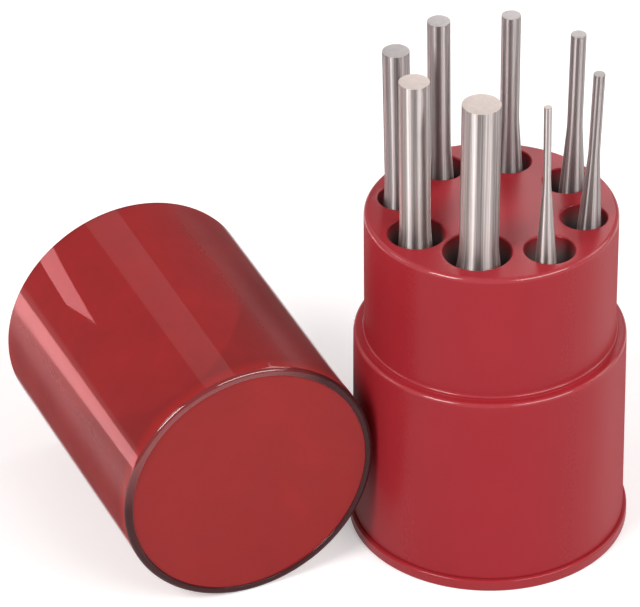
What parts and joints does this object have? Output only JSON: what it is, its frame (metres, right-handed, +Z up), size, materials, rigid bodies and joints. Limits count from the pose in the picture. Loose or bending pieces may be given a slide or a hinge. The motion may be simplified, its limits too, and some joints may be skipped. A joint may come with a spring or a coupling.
{
  "type": "drive pin punch set",
  "caption": "Straight-pin drive punches of rising pin size standing in a round two-step plastic holder, with a clear tinted cap lying beside it.",
  "frame": {"origin": "centre of the holder's foot, on the surface it stands on", "axes": "+Z up along the holder's axis; -Y towards the viewer; the cap lies towards -X and -Y"},
  "size_m": [0.1316, 0.0834, 0.1106],
  "materials": {
    "holder_plastic": "opaque red, smooth moulded gloss",
    "foot_plastic": "opaque red, smooth moulded gloss",
    "cap_plastic": "see-through deep red, polished",
    "punch_steel": "ground bright steel"
  },
  "bodies": {
    "holder": {"holder": "holder_plastic", "foot_plate": "foot_plastic"},
    "cap": {"cap": "cap_plastic"},
    "punch_1_16": {"punch_1_16": "punch_steel"},
    "punch_3_32": {"punch_3_32": "punch_steel"},
    "punch_1_8": {"punch_1_8": "punch_steel"},
    "punch_5_32": {"punch_5_32": "punch_steel"},
    "punch_3_16": {"punch_3_16": "punch_steel"},
    "punch_7_32": {"punch_7_32": "punch_steel"},
    "punch_1_4": {"punch_1_4": "punch_steel"},
    "punch_5_16": {"punch_5_16": "punch_steel"}
  },
  "joints": [
    {"name": "cap_lift", "type": "slide", "parent": "holder", "child": "cap", "axis": [0, 0, 1], "range_m": [0, 0.13]},
    {"name": "punch_1_16_draw", "type": "slide", "parent": "holder", "child": "punch_1_16", "axis": [-0.0073, -0.0189, 0.9998], "range_m": [0, 0.08]},
    {"name": "punch_3_32_draw", "type": "slide", "parent": "holder", "child": "punch_3_32", "axis": [0.0322, -0.0209, 0.9993], "range_m": [0, 0.08]},
    {"name": "punch_1_8_draw", "type": "slide", "parent": "holder", "child": "punch_1_8", "axis": [0.016, 0.0049, 0.9999], "range_m": [0, 0.08]},
    {"name": "punch_5_32_draw", "type": "slide", "parent": "holder", "child": "punch_5_32", "axis": [0.0019, 0.0022, 1], "range_m": [0, 0.08]},
    {"name": "punch_3_16_draw", "type": "slide", "parent": "holder", "child": "punch_3_16", "axis": [-0.0091, 0.0052, 0.9999], "range_m": [0, 0.08]},
    {"name": "punch_7_32_draw", "type": "slide", "parent": "holder", "child": "punch_7_32", "axis": [-0.0155, 0.0025, 0.9999], "range_m": [0, 0.08]},
    {"name": "punch_1_4_draw", "type": "slide", "parent": "holder", "child": "punch_1_4", "axis": [-0.0071, 0.0234, 0.9997], "range_m": [0, 0.08]},
    {"name": "punch_5_16_draw", "type": "slide", "parent": "holder", "child": "punch_5_16", "axis": [0.0068, -0.0042, 1], "range_m": [0, 0.08]}
  ]
}
